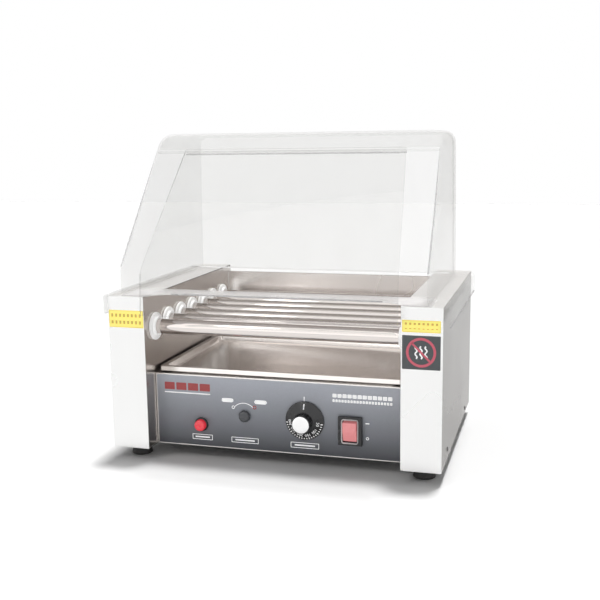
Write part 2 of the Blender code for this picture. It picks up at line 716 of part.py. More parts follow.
def build_rollers(mats, parts, cutters):
    for k in range(ROLLERS):
        roller(k, mats["polished"].copy(), parts, cutters)
        heater(k, mats["zinc"].copy(), parts)
        for side in (-1, 1):
            bushing(side, k, mats["ptfe"].copy(), parts)
    drive_chain(mats["zinc"].copy(), parts)
    gear_motor(mats["zinc"].copy(), parts)
    motor_sprocket(mats["steel"].copy(), parts)
    motor_bracket(mats["zinc"].copy(), parts, cutters)


def build_controls(mats, parts, cutters):
    temperature_dial(mats["black"].copy(), parts)
    energy_knob(mats["black"].copy(), parts)
    spindle_control("thermostat", DIAL_AT, 0.0030, 0.036, 0.0175, mats["zinc"].copy(), parts, cutters)
    spindle_control("energy_regulator", ENERGY_AT, 0.0024, 0.030, 0.0046, mats["zinc"].copy(), parts, cutters)
    pilot_lamp(mats["red_lens"], mats["black"].copy(), parts)
    rocker_housing(mats["black"].copy(), parts, cutters)
    rocker(mats["red_rocker"], parts)


def centre_on_hood(parts, cutters):
    """The loose hood sits a little to the right on the towers, and the part is centred on it."""
    for obj in list(parts.objects) + list(cutters.objects):
        obj.location.x -= HOOD_OFFSET


def build():
    clear_scene()
    parts = new_collection("hot_dog_roller_grill")
    cutters = new_collection("cutters", hidden=True)
    mats = {
        "steel": material("brushed_steel", (0.80, 0.79, 0.77), 0.30, 1.0),
        "inner_steel": material("inner_steel", (0.66, 0.63, 0.59), 0.35, 1.0),
        "polished": material("polished_steel", (0.86, 0.84, 0.81), 0.12, 1.0),
        "ptfe": material("white_ptfe", (0.92, 0.92, 0.90), 0.40, 0.0),
        "clear": material("clear_plastic", (0.95, 0.96, 0.96), 0.05, 0.0, transmission=1.0),
        "slate": material("slate_fascia", (0.10, 0.105, 0.12), 0.40, 0.0),
        "black": material("black_plastic", (0.03, 0.03, 0.033), 0.30, 0.0),
        "rubber": material("black_rubber", (0.02, 0.02, 0.02), 0.75, 0.0),
        "red_lens": material("red_lens", (0.90, 0.05, 0.08), 0.15, 0.0, emission=0.4),
        "red_rocker": material("red_rocker", (0.85, 0.12, 0.14), 0.15, 0.0, transmission=0.4),
        "zinc": material("zinc_plate", (0.55, 0.56, 0.57), 0.45, 1.0),
    }
    build_body(mats, parts, cutters)
    build_rollers(mats, parts, cutters)
    build_controls(mats, parts, cutters)
    centre_on_hood(parts, cutters)
    hood(mats["clear"].copy(), parts, cutters)
    front_door(mats["clear"].copy(), parts)
    hinge_rod(mats["clear"].copy(), parts)


build()
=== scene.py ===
import math

import bmesh
import bpy
from mathutils import Matrix, Vector


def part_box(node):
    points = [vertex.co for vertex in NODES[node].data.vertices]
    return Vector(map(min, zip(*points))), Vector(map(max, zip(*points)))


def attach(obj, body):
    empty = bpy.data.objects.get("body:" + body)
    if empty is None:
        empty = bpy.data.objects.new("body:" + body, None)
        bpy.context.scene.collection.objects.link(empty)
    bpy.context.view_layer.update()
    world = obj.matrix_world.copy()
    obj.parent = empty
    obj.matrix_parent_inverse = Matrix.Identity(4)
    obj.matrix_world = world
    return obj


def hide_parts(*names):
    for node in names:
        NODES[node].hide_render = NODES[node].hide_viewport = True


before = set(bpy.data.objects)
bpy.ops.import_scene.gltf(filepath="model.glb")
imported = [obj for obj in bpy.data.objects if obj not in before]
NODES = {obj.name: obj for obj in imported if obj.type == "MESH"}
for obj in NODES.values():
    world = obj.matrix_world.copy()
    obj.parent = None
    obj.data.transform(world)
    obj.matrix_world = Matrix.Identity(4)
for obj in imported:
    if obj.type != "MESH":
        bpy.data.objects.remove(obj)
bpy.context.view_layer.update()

ROLLERS = 7
HOOD_SHEET = 0.0024
DOOR_SHEET = 0.0022
TUBE_R = 0.0098
MIDDLE_X = (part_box("left_tower_shell")[0][0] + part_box("right_tower_shell")[1][0]) / 2

# ---- camera, light and stage ----------------------------------------------
CAMERA_AT = (0.3541 + MIDDLE_X, -1.2224, 0.4163)
CAMERA_YAW = 16.2206
CAMERA_PITCH = -9.738
CAMERA_ROLL = -0.7703
CAMERA_LENS = 54.9


def make_camera():
    yaw, pitch, roll = (math.radians(a) for a in (CAMERA_YAW, CAMERA_PITCH, CAMERA_ROLL))
    ahead = Vector((-math.sin(yaw) * math.cos(pitch), math.cos(yaw) * math.cos(pitch), math.sin(pitch)))
    right = Vector((math.cos(yaw), math.sin(yaw), 0.0))
    up = right.cross(ahead)
    side = right * math.cos(roll) + up * math.sin(roll)
    top = up * math.cos(roll) - right * math.sin(roll)
    data = bpy.data.cameras.new("camera")
    data.lens = CAMERA_LENS
    data.sensor_width = 36.0
    data.clip_start = 0.02
    camera = bpy.data.objects.new("camera", data)
    bpy.context.scene.collection.objects.link(camera)
    turn = Matrix((side, top, -ahead)).transposed().to_4x4()
    camera.matrix_world = Matrix.Translation(CAMERA_AT) @ turn
    bpy.context.scene.camera = camera


def aimed(name, data, place, aim):
    obj = bpy.data.objects.new(name, data)
    bpy.context.scene.collection.objects.link(obj)
    obj.location = place
    obj.rotation_euler = (Vector(aim) - Vector(place)).to_track_quat("-Z", "Y").to_euler()
    return obj


def make_lights():
    """A broad even light from above, unseen in the metal, and a round soft lamp that makes the highlights."""
    data = bpy.data.lights.new("key", "SUN")
    data.energy = 3.55
    data.angle = math.radians(9.0)
    key = aimed("key", data, (0.08, 0.27, 1.6), (0.0, 0.0, 0.0))
    key.visible_glossy = False
    data = bpy.data.lights.new("lamp", "AREA")
    data.shape = "DISK"
    data.size = 0.5
    data.energy = 3.0
    aimed("lamp", data, (-0.7, -1.0, 1.4), (0.0, 0.0, 0.1))


def world_light(tree, axis, low, high, first, second):
    """A background that changes colour along one axis."""
    where = tree.nodes.new("ShaderNodeTexCoord")
    parts = tree.nodes.new("ShaderNodeSeparateXYZ")
    tree.links.new(where.outputs["Generated"], parts.inputs[0])
    share = ramp(tree, parts.outputs[axis], low, high, 0.0, 1.0)
    light = tree.nodes.new("ShaderNodeBackground")
    tree.links.new(colours(tree, share, first, second), light.inputs["Color"])
    return light.outputs[0]


def pick(tree, flag, first, second):
    node = tree.nodes.new("ShaderNodeMixShader")
    tree.links.new(flag, node.inputs[0])
    tree.links.new(first, node.inputs[1])
    tree.links.new(second, node.inputs[2])
    return node.outputs[0]


def make_world():
    """Plain white seen directly. Floor and plastics are lit mostly from above. Metal mirrors a bright
    front and a dimmer, warmer back."""
    world = bpy.data.worlds.new("studio")
    bpy.context.scene.world = world
    world.use_nodes = True
    tree = world.node_tree
    tree.nodes.clear()
    soft = world_light(tree, "Z", 0.05, 0.8, (0.02, 0.02, 0.02), (0.36, 0.36, 0.36))
    mirrored = world_light(tree, "Y", -0.45, 0.25, (1.45, 1.45, 1.45), (0.46, 0.43, 0.41))
    plain = world_light(tree, "Z", 0.0, 1.0, (1.0, 1.0, 1.0), (1.0, 1.0, 1.0))
    path = tree.nodes.new("ShaderNodeLightPath")
    unseen = pick(tree, path.outputs["Is Glossy Ray"], soft, mirrored)
    total = pick(tree, path.outputs["Is Camera Ray"], unseen, plain)
    out = tree.nodes.new("ShaderNodeOutputWorld")
    tree.links.new(total, out.inputs["Surface"])


def make_stage():
    mesh = bpy.data.meshes.new("floor")
    bm = bmesh.new()
    bmesh.ops.create_grid(bm, x_segments=4, y_segments=4, size=5.0)
    bm.to_mesh(mesh)
    bm.free()
    floor = bpy.data.objects.new("floor", mesh)
    floor.location = (0.0, 0.0, -0.0003)
    bpy.context.scene.collection.objects.link(floor)
    mat, tree, skin = new_material("floor_white")
    cloud = noise(tree, (3.0, 3.0, 3.0), 1.0, 2.0)
    blend = colours(tree, cloud, (0.76, 0.76, 0.76), (0.78, 0.78, 0.78))
    tree.links.new(blend, skin.inputs["Base Color"])
    skin.inputs["Roughness"].default_value = 0.75
    mesh.materials.append(mat)


# ---- material helpers ------------------------------------------------------
def new_material(name):
    mat = bpy.data.materials.new(name)
    mat.use_nodes = True
    return mat, mat.node_tree, mat.node_tree.nodes["Principled BSDF"]


def noise(tree, stretch, scale, detail=3.0, rough=0.5):
    """A noise pattern in metres, stretched along an axis by a small number there."""
    where = tree.nodes.new("ShaderNodeTexCoord")
    fit = tree.nodes.new("ShaderNodeMapping")
    fit.inputs["Scale"].default_value = stretch
    tree.links.new(where.outputs["Object"], fit.inputs["Vector"])
    pattern = tree.nodes.new("ShaderNodeTexNoise")
    pattern.inputs["Scale"].default_value = scale
    pattern.inputs["Detail"].default_value = detail
    pattern.inputs["Roughness"].default_value = rough
    tree.links.new(fit.outputs[0], pattern.inputs["Vector"])
    return pattern.outputs["Fac"]


def ramp(tree, value, low, high, start, end):
    node = tree.nodes.new("ShaderNodeMapRange")
    node.inputs["From Min"].default_value = low
    node.inputs["From Max"].default_value = high
    node.inputs["To Min"].default_value = start
    node.inputs["To Max"].default_value = end
    tree.links.new(value, node.inputs["Value"])
    return node.outputs[0]


def along(tree, axis, low, high):
    """0 to 1 over a stretch of one axis, in metres."""
    where = tree.nodes.new("ShaderNodeTexCoord")
    parts = tree.nodes.new("ShaderNodeSeparateXYZ")
    tree.links.new(where.outputs["Object"], parts.inputs[0])
    return ramp(tree, parts.outputs[axis], low, high, 0.0, 1.0)


def colours(tree, value, first, second):
    node = tree.nodes.new("ShaderNodeMix")
    node.data_type = "RGBA"
    sockets = [s for s in node.inputs if s.type == "RGBA"]
    sockets[0].default_value = (*first, 1.0)
    sockets[1].default_value = (*second, 1.0)
    tree.links.new(value, node.inputs[0])
    return node.outputs[2]


def blend_colours(tree, factor, first, second):
    node = tree.nodes.new("ShaderNodeMix")
    node.data_type = "RGBA"
    sockets = [s for s in node.inputs if s.type == "RGBA"]
    tree.links.new(first, sockets[0])
    tree.links.new(second, sockets[1])
    tree.links.new(factor, node.inputs[0])
    return node.outputs[2]


def bump(tree, skin, value, strength, distance):
    node = tree.nodes.new("ShaderNodeBump")
    node.inputs["Strength"].default_value = strength
    node.inputs["Distance"].default_value = distance
    tree.links.new(value, node.inputs["Height"])
    tree.links.new(node.outputs[0], skin.inputs["Normal"])


def brushed(name, light, dark, grain, smooth=0.24, coarse=0.28, relief=0.02, metal=1.0):
    """Brushed sheet steel: fine streaks along the small number of grain, with cloudy smudges."""
    mat, tree, skin = new_material(name)
    streak = noise(tree, grain, 1.0, 4.0, 0.6)
    smudge = noise(tree, (7.0, 7.0, 7.0), 1.0, 2.0)
    fine = colours(tree, ramp(tree, streak, 0.3, 0.7, 0.0, 1.0), light, dark)
    worn = colours(tree, ramp(tree, smudge, 0.3, 0.75, 0.0, 1.0), light, dark)
    node = blend_colours(tree, ramp(tree, smudge, 0.35, 0.65, 0.25, 0.6), fine, worn)
    tree.links.new(node, skin.inputs["Base Color"])
    skin.inputs["Metallic"].default_value = metal
    tree.links.new(ramp(tree, smudge, 0.3, 0.7, smooth, coarse), skin.inputs["Roughness"])
    if relief:
        bump(tree, skin, streak, relief, 0.0001)
    return mat


def moulded(name, light, dark, gloss, matt, grain=700.0, relief=0.08, coat=0.0):
    """Moulded plastic or rubber with a fine skin texture."""
    mat, tree, skin = new_material(name)
    fine = noise(tree, (grain, grain, grain), 1.0, 2.0)
    cloud = noise(tree, (40.0, 40.0, 40.0), 1.0, 3.0)
    tree.links.new(colours(tree, cloud, light, dark), skin.inputs["Base Color"])
    tree.links.new(ramp(tree, cloud, 0.3, 0.7, gloss, matt), skin.inputs["Roughness"])
    skin.inputs["Coat Weight"].default_value = coat
    bump(tree, skin, fine, relief, 0.0002)
    return mat


def clear_sheet(name, haze, through, body, sheen, rough=0.05):
    """Clear moulded plastic with a little haze and scuffing, and a gloss that grows at a glance."""
    mat, tree, skin = new_material(name)
    scuff = noise(tree, (30.0, 30.0, 8.0), 1.0, 5.0, 0.6)
    tree.links.new(colours(tree, scuff, body, tuple(c * 0.96 for c in body)), skin.inputs["Base Color"])
    tree.links.new(ramp(tree, scuff, 0.3, 0.7, rough, rough + 0.06), skin.inputs["Roughness"])
    open_air = tree.nodes.new("ShaderNodeBsdfTransparent")
    open_air.inputs["Color"].default_value = (*through, 1.0)
    edge = tree.nodes.new("ShaderNodeFresnel")
    edge.inputs["IOR"].default_value = 1.49
    glance = ramp(tree, edge.outputs[0], 0.0, 1.0, 0.0, sheen)
    total = tree.nodes.new("ShaderNodeMath")
    total.operation = "ADD"
    total.use_clamp = True
    tree.links.new(glance, total.inputs[0])
    tree.links.new(ramp(tree, scuff, 0.3, 0.7, haze * 0.8, haze * 1.2), total.inputs[1])
    mix = tree.nodes.new("ShaderNodeMixShader")
    tree.links.new(total.outputs[0], mix.inputs[0])
    tree.links.new(open_air.outputs[0], mix.inputs[1])
    tree.links.new(skin.outputs[0], mix.inputs[2])
    tree.links.new(mix.outputs[0], tree.nodes["Material Output"].inputs["Surface"])
    return mat


def printed(name, light, dark, rough=0.4):
    """Ink or film: even colour with slight mottling."""
    mat, tree, skin = new_material(name)
    mottle = noise(tree, (300.0, 300.0, 300.0), 1.0, 3.0)
    tree.links.new(colours(tree, mottle, light, dark), skin.inputs["Base Color"])
    tree.links.new(ramp(tree, mottle, 0.3, 0.7, rough - 0.06, rough + 0.08), skin.inputs["Roughness"])
    return mat


def glowing(name, light, dark, glow, strength, rough=0.12, coat=0.6):
    """A surface with a little light of its own: the pilot lamp's own light, and painted glow on the switch
    and on white, yellow and ochre parts that would be too dark in this light without it."""
    mat, tree, skin = new_material(name)
    cloud = noise(tree, (160.0, 160.0, 160.0), 1.0, 2.0)
    tree.links.new(colours(tree, cloud, light, dark), skin.inputs["Base Color"])
    tree.links.new(ramp(tree, cloud, 0.3, 0.7, rough, rough + 0.08), skin.inputs["Roughness"])
    skin.inputs["Emission Color"].default_value = (*glow, 1.0)
    skin.inputs["Emission Strength"].default_value = strength
    skin.inputs["Coat Weight"].default_value = coat
    skin.inputs["Coat Roughness"].default_value = 0.05
    bump(tree, skin, cloud, 0.05, 0.0003)
    return mat


def fascia_film(low, high):
    """Slate film with a painted sheen: a little lighter towards its top edge."""
    mat, tree, skin = new_material("slate_film_painted_sheen")
    # Painted sheen: the base colour runs from dark at the bottom to lighter at the top.
    lift = along(tree, "Z", low, high)
    speck = noise(tree, (500.0, 500.0, 500.0), 1.0, 2.0)
    shade = colours(tree, lift, (0.072, 0.077, 0.090), (0.560, 0.585, 0.650))
    fine = colours(tree, speck, (0.09, 0.095, 0.105), (0.15, 0.158, 0.175))
    share = ramp(tree, speck, 0.0, 1.0, 0.0, 0.15)
    tree.links.new(blend_colours(tree, share, shade, fine), skin.inputs["Base Color"])
    tree.links.new(ramp(tree, speck, 0.3, 0.7, 0.30, 0.40), skin.inputs["Roughness"])
    bump(tree, skin, speck, 0.05, 0.0002)
    return mat


def make_materials():
    low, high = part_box("control_fascia")
    return {
        "tower": brushed("tower_steel_brushed", (0.82, 0.82, 0.815), (0.79, 0.79, 0.785),
                         (500.0, 500.0, 4.0)),
        # Painted shade: a darker, warmer copy of the tower steel for the faces that look along X, which are
        # the same sheet as the fronts.
        "side": brushed("side_steel_painted_shade", (0.180, 0.167, 0.156), (0.168, 0.156, 0.145),
                        (500.0, 500.0, 4.0)),
        # Painted light: a lighter, partly diffuse copy of the tower steel for the faces that look up.
        "top": brushed("top_steel_painted_light", (0.86, 0.85, 0.84), (0.82, 0.81, 0.80), (500.0, 4.0, 500.0),
                       0.3, 0.4, 0.02, 0.3),
        "inner": brushed("inner_steel_brushed", (0.90, 0.87, 0.85), (0.85, 0.82, 0.80), (4.0, 500.0, 500.0)),
        "wall": brushed("wall_steel_brushed", (0.58, 0.545, 0.52), (0.53, 0.50, 0.475), (500.0, 4.0, 500.0)),
        "tray": brushed("tray_steel_brushed", (0.95, 0.91, 0.88), (0.88, 0.84, 0.81), (4.0, 500.0, 500.0),
                        0.18, 0.24),
        "roller": brushed("roller_polished", (0.70, 0.655, 0.63), (0.67, 0.625, 0.60),
                          (3.0, 400.0, 400.0), 0.08, 0.10, 0.0),
        "zinc": brushed("zinc_sheet", (0.56, 0.57, 0.58), (0.44, 0.45, 0.46), (60.0, 60.0, 60.0), 0.35, 0.5),
        "dark_screw": brushed("dark_screw", (0.16, 0.155, 0.15), (0.10, 0.10, 0.10),
                              (900.0, 900.0, 900.0), 0.25, 0.4),
        "screw": brushed("screw_steel", (0.60, 0.59, 0.57), (0.45, 0.44, 0.42), (900.0, 900.0, 900.0),
                         0.25, 0.4),
        "silver": brushed("cap_silver", (0.90, 0.90, 0.90), (0.80, 0.80, 0.80), (900.0, 900.0, 900.0),
                          0.25, 0.4),
        # Painted glow: the white bushings have a faint light of their own so they read white.
        "ptfe": glowing("white_ptfe", (0.95, 0.95, 0.95), (0.91, 0.91, 0.90), (1.0, 0.99, 0.98), 0.22,
                        0.35, 0.0),
        "black": moulded("black_plastic", (0.012, 0.012, 0.013), (0.020, 0.020, 0.022), 0.22, 0.36),
        "knob": moulded("knob_plastic", (0.070, 0.074, 0.082), (0.095, 0.099, 0.107), 0.24, 0.34),
        "rubber": moulded("black_rubber", (0.018, 0.018, 0.018), (0.032, 0.031, 0.030), 0.55, 0.75, 400.0,
                          0.2),
        "clear": clear_sheet("clear_cover", 0.028, (0.975, 0.975, 0.973), (0.80, 0.80, 0.79), 0.16),
        # Painted sheen: a strong white haze on the flat tie strip stands in for the gloss it shows at a
        # glance.
        "tie": clear_sheet("clear_cover_tie_painted_sheen", 0.34, (0.97, 0.97, 0.97), (0.93, 0.92, 0.92), 0.5),
        # Painted shade: a darker, more opaque clear on the narrow cut edges of the hood and door stands in
        # for the dark lines light makes in the sheet's rims.
        "clear_edge": clear_sheet("clear_cover_edge_painted_shade", 0.45, (0.90, 0.90, 0.90), (0.46, 0.46, 0.47), 0.20),
        "slate": fascia_film(low[2], high[2]),
        # Painted glow: the white print has a faint light of its own so it stays bright.
        "white_ink_painted_glow": glowing("white_ink_painted_glow", (0.90, 0.90, 0.90), (0.86, 0.86, 0.86), (1.0, 1.0, 1.0), 0.35,
                             0.4, 0.0),
        "red_ink": printed("red_ink", (0.50, 0.085, 0.085), (0.44, 0.07, 0.07)),
        "pink_ink": printed("pink_ink", (0.80, 0.16, 0.22), (0.74, 0.13, 0.19)),
        # Painted glow: the yellow labels have a faint light of their own so they stay bright.
        "yellow_film_painted_glow": glowing("yellow_film_painted_glow", (0.96, 0.84, 0.20), (0.93, 0.81, 0.18), (1.0, 0.86, 0.24),
                               0.38, 0.4, 0.0),
        # Painted glow: the ochre print has a faint light of its own.
        "ochre_ink_painted_glow": glowing("ochre_ink_painted_glow", (0.62, 0.48, 0.10), (0.56, 0.43, 0.08), (0.9, 0.7, 0.2), 0.16,
                             0.4, 0.0),
        "dark_ink": printed("dark_ink", (0.075, 0.085, 0.090), (0.095, 0.105, 0.110)),
        "lamp": glowing("red_lamp", (0.85, 0.02, 0.04), (0.60, 0.010, 0.025), (1.0, 0.05, 0.08), 0.34),
        # Painted glow: the rocker paddle has a faint light of its own.
        "rocker": glowing("red_rocker", (0.80, 0.27, 0.28), (0.70, 0.20, 0.21), (1.0, 0.36, 0.37), 0.26,
                          0.2),
        "milky": clear_sheet("milky_boot", 0.75, (0.9, 0.85, 0.85), (0.90, 0.86, 0.86), 0.4),
    }


# ---- mesh helpers ----------------------------------------------------------
def piece(name, mesh, mats, body, stands_for=()):
    obj = bpy.data.objects.new(name, mesh)
    bpy.context.scene.collection.objects.link(obj)
    for mat in mats:
        mesh.materials.append(mat)
    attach(obj, body)
    if stands_for:
        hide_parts(*stands_for)
    return obj


def finish_mesh(bm, name, sharp=40.0):
    bmesh.ops.recalc_face_normals(bm, faces=bm.faces)
    mesh = bpy.data.meshes.new(name)
    bm.to_mesh(mesh)
    bm.free()
    mesh.shade_smooth()
    mesh.set_sharp_from_angle(angle=math.radians(sharp))
    return mesh


def centred(mesh):
    """Moves a mesh drawn about the middle of the machine to where that middle is."""
    mesh.transform(Matrix.Translation((MIDDLE_X, 0.0, 0.0)))
    return mesh


def place(axis, a, c, s):
    return {"X": (a, c, s), "Y": (s, a, c), "Z": (c, s, a)}[axis]


def lathe(bm, axis, centre, profile, steps=96, ring=False, flute=None):
    """Turns (along, radius) pairs round an axis. flute is (count, depth, first, last) for a fluted side."""
    centre = Vector(centre)
    rows = []
    for k, (a, radius) in enumerate(profile):
        if radius < 1e-7:
            rows.append([bm.verts.new(centre + Vector(place(axis, a, 0.0, 0.0)))])
            continue
        row = []
        for j in range(steps):
            t = 2 * math.pi * j / steps
            r = radius
            if flute and flute[2] <= k <= flute[3]:
                r -= flute[1] * (0.5 - 0.5 * math.cos(flute[0] * t))
            row.append(bm.verts.new(centre + Vector(place(axis, a, r * math.cos(t), r * math.sin(t)))))
        rows.append(row)
    pairs = list(zip(rows, rows[1:]))
    if ring:
        pairs.append((rows[-1], rows[0]))
    for first, second in pairs:
        for j in range(steps):
            n = (j + 1) % steps
            corners = []
            for v in (first[j % len(first)], first[n % len(first)], second[n % len(second)],
                      second[j % len(second)]):
                if v not in corners:
                    corners.append(v)
            bm.faces.new(corners)


def rounded(cx, cz, width, height, radius, steps=6):
    """Points of a rounded rectangle, anticlockwise."""
    pts = []
    for sx, sz, start in ((1, 1, 0), (-1, 1, 90), (-1, -1, 180), (1, -1, 270)):
        for k in range(steps + 1):
            t = math.radians(start + 90 * k / steps)
            pts.append((cx + sx * (width / 2 - radius) + radius * math.cos(t),
                        cz + sz * (height / 2 - radius) + radius * math.sin(t)))
    return pts


def disc(cx, cz, radius, steps=32):
    return [(cx + radius * math.cos(2 * math.pi * k / steps),
             cz + radius * math.sin(2 * math.pi * k / steps))
            for k in range(steps)]


def slab(bm, outline, front, back, plane="XZ"):
    """A flat plate: outline in a plane, from front to back along its normal."""
    rows = [[bm.verts.new(flat_point(plane, p, q, depth)) for p, q in outline] for depth in (front, back)]
    bm.faces.new(rows[0])
    bm.faces.new(list(reversed(rows[1])))
    count = len(outline)
    for k in range(count):
        n = (k + 1) % count
        bm.faces.new((rows[0][n], rows[0][k], rows[1][k], rows[1][n]))


def flat_point(plane, p, q, depth):
    return (p, depth, q) if plane == "XZ" else (depth, p, q)


def tube_walls(lines):
    """The four pairs of lines that bound a closed bar."""
    return ((lines[0], lines[1]), (lines[1], lines[3]), (lines[3], lines[2]), (lines[2], lines[0]))


def band(bm, outer, inner, front, back, plane="XZ"):
    """A flat ring between two outlines with the same number of points."""
    loops = [[bm.verts.new(flat_point(plane, p, q, depth)) for p, q in line]
             for depth in (front, back) for line in (outer, inner)]
    count = len(outer)
    for k in range(count):
        n = (k + 1) % count
        for first, second in tube_walls(loops):
            bm.faces.new((first[k], first[n], second[n], second[k]))


def stroke(bm, points, width, front, back):
    """A flat line of some width along open points in the XZ plane."""
    pts = [Vector(p) for p in points]
    left, right = [], []
    for k, p in enumerate(pts):
        ahead = (pts[min(k + 1, len(pts) - 1)] - pts[max(k - 1, 0)]).normalized()
        side = Vector((-ahead.y, ahead.x)) * width / 2
        left.append(tuple(p + side))
        right.append(tuple(p - side))
    slab_strip(bm, left, right, front, back)


def slab_strip(bm, left, right, front, back):
    """A closed strip made of quads, so that a bent line stays clean."""
    rows = [[bm.verts.new((p, depth, q)) for p, q in line]
            for depth in (front, back) for line in (left, right)]
    count = len(left)
    for k in range(count - 1):
        for first, second in tube_walls(rows):
            bm.faces.new((first[k], first[k + 1], second[k + 1], second[k]))
    for k in (0, count - 1):
        bm.faces.new((rows[0][k], rows[1][k], rows[3][k], rows[2][k]))


def sheet_copy(node, name, body, mats, edge=0.0003, steps=2, sharp=30.0, rim=None, side=False):
    """A smoothed copy of a CAD sheet with softened edges. The second material goes on long faces as narrow as
    rim, where it paints shade lines on the clear sheets' cut edges, or on those that look along X, where it
    paints shade on the tower sides, and then the third on those that look up, where it paints light on the
    tower tops."""
    mesh = NODES[node].data.copy()
    mesh.materials.clear()
    bm = bmesh.new()
    bm.from_mesh(mesh)
    bmesh.ops.remove_doubles(bm, verts=bm.verts, dist=0.00001)
    bmesh.ops.dissolve_limit(bm, angle_limit=math.radians(0.6), verts=bm.verts, edges=bm.edges)
    for face in bm.faces:
        face.material_index = 0
        if rim and thin(face, rim):
            face.material_index = 1
        # On the towers, faces that look along X get the darker copy of the steel: painted shade.
        if side and abs(face.normal.x) > 0.9:
            face.material_index = 1
        # On the towers, faces that look up get the lighter copy of the steel: painted light.
        if side and face.normal.z > 0.9:
            face.material_index = 2
    bm.to_mesh(mesh)
    bm.free()
    mesh.shade_smooth()
    mesh.set_sharp_from_angle(angle=math.radians(sharp))
    obj = piece(name, mesh, mats, body, (node,))
    if edge:
        bevel = obj.modifiers.new("soft_edges", "BEVEL")
        bevel.width = edge
        bevel.segments = steps
        bevel.limit_method = "ANGLE"
        bevel.angle_limit = math.radians(35.0)
        bevel.use_clamp_overlap = True
        bevel.harden_normals = False
    return obj


def thin(face, rim):
    """True for a long face that is one sheet thickness wide."""
    lengths = [e.calc_length() for e in face.edges]
    narrow = abs(min(lengths) - rim) < rim * 0.13
    return narrow and max(lengths) > 0.03 and face.calc_area() < max(lengths) * rim * 1.3


def corners(node):
    low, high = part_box(node)
    return Vector(low), Vector(high)


def ring_frame(centre, angle, radius, depth, tilt):
    """Local axes on a cone round the Y axis: X clockwise, Y outwards along the cone, Z off its face."""
    out = Vector((math.sin(angle), 0.0, math.cos(angle)))
    across = Vector((math.cos(angle), 0.0, -math.sin(angle)))
    away = (out * math.cos(tilt) + Vector((0.0, math.sin(tilt), 0.0))).normalized()
    off = across.cross(away)
    spot = Vector((centre.x, depth, centre.z)) + out * radius
    turn = Matrix((across, away, off)).transposed().to_4x4()
    return Matrix.Translation(spot) @ turn


def mark(bm, turn, width, height, lift=0.00006):
    """A thin raised bar in a local frame."""
    made = bmesh.ops.create_cube(bm, size=1.0)["verts"]
    size = Matrix.Diagonal((width, height, lift * 2, 1.0))
    bmesh.ops.transform(bm, matrix=turn @ size, verts=made)


def numeral(bm, text, size, turn):
    """Raised figures in a local frame, centred on it."""
    curve = bpy.data.curves.new("figures", "FONT")
    curve.body = text
    curve.size = size
    curve.align_x = "CENTER"
    curve.align_y = "CENTER"
    curve.extrude = 0.00006
    curve.resolution_u = 3
    holder = bpy.data.objects.new("figures", curve)
    mesh = bpy.data.meshes.new_from_object(holder)
    mesh.transform(turn)
    bm.from_mesh(mesh)
    bpy.data.objects.remove(holder)
    bpy.data.curves.remove(curve)
    bpy.data.meshes.remove(mesh)


# ---- sheet metal -----------------------------------------------------------
def make_sheets(mats):
    for node, slot, mat, edge in (
        ("left_tower_shell", "tower_steel", "tower", 0.00035),
        ("right_tower_shell", "tower_steel", "tower", 0.00035),
        ("left_inner_wall", "inner_steel", "wall", 0.0002),
        ("right_inner_wall", "inner_steel", "wall", 0.0002),
        ("control_box", "inner_steel", "inner", 0.0003),
        ("rear_panel", "inner_steel", "inner", 0.0003),
        ("base_pan", "zinc_sheet", "zinc", 0.0002),
    ):
        # On the towers the fronts get the steel, the sides a darker copy as painted shade and the tops a
        # lighter copy as painted light.
        skins = [mats[mat], mats["side"], mats["top"]] if mat == "tower" else [mats[mat]]
        sheet_copy(node, node + "_sheet", "chassis", skins, edge, side=mat == "tower")
    sheet_copy("drip_tray", "drip_tray_pressing", "drip_tray", [mats["tray"]], 0.0003)


def screw_head(bm, axis, centre, way, radius, height):
    """A domed head with a shallow rim, on a face whose normal runs along an axis."""
    profile = [(-0.0004, 0.0), (-0.0004, radius * 0.9), (0.0, radius), (height * 0.5, radius * 0.93),
               (height * 0.85, radius * 0.6), (height, radius * 0.32), (height * 0.62, radius * 0.26),
               (height * 0.6, 0.0)]
    lathe(bm, axis, centre, [(way * a, r) for a, r in profile], 28)


def make_screws(mats):
    """Small heads on the outer sides, as in the lower corners, and round the back."""
    low, high = corners("right_tower_shell")
    bm = bmesh.new()
    for side in (-1, 1):
        for depth, height in ((0.2648, 0.0079), (0.0552, 0.0136)):
            spot = (MIDDLE_X + side * (high.x - MIDDLE_X), low.y + depth, low.z + height)
            screw_head(bm, "X", spot, side, 0.0030, 0.0012)
    back = corners("rear_panel")
    for x in (back[0].x + 0.012, 0.0, back[1].x - 0.012):
        for z in (back[0].z + 0.012, back[1].z - 0.014):
            screw_head(bm, "Y", (x, back[1].y, z), 1, 0.0024, 0.0009)
    piece("case_screws", finish_mesh(bm, "case_screws"), [mats["dark_screw"]], "chassis")


def make_feet(mats):
    for node in ("foot_front_left", "foot_front_right", "foot_rear_left", "foot_rear_right"):
        low, high = corners(node)
        centre = ((low.x + high.x) / 2, (low.y + high.y) / 2, 0.0)
        wide = (high.x - low.x) / 2
        top = high.z
        profile = [(top, 0.0), (top, wide * 0.80), (top - 0.0006, wide * 0.84), (top * 0.62, wide * 0.88),
                   (top * 0.56, wide * 0.84), (top * 0.50, wide * 0.89), (0.0032, wide * 0.97),
                   (0.0014, wide), (0.0004, wide * 0.98), (0.0, wide * 0.93), (0.0, wide * 0.45),
                   (0.0022, wide * 0.40), (0.0022, 0.0)]
        bm = bmesh.new()
        lathe(bm, "Z", centre, profile, 64)
        piece(node + "_rubber", finish_mesh(bm, node), [mats["rubber"]], "chassis", (node,))


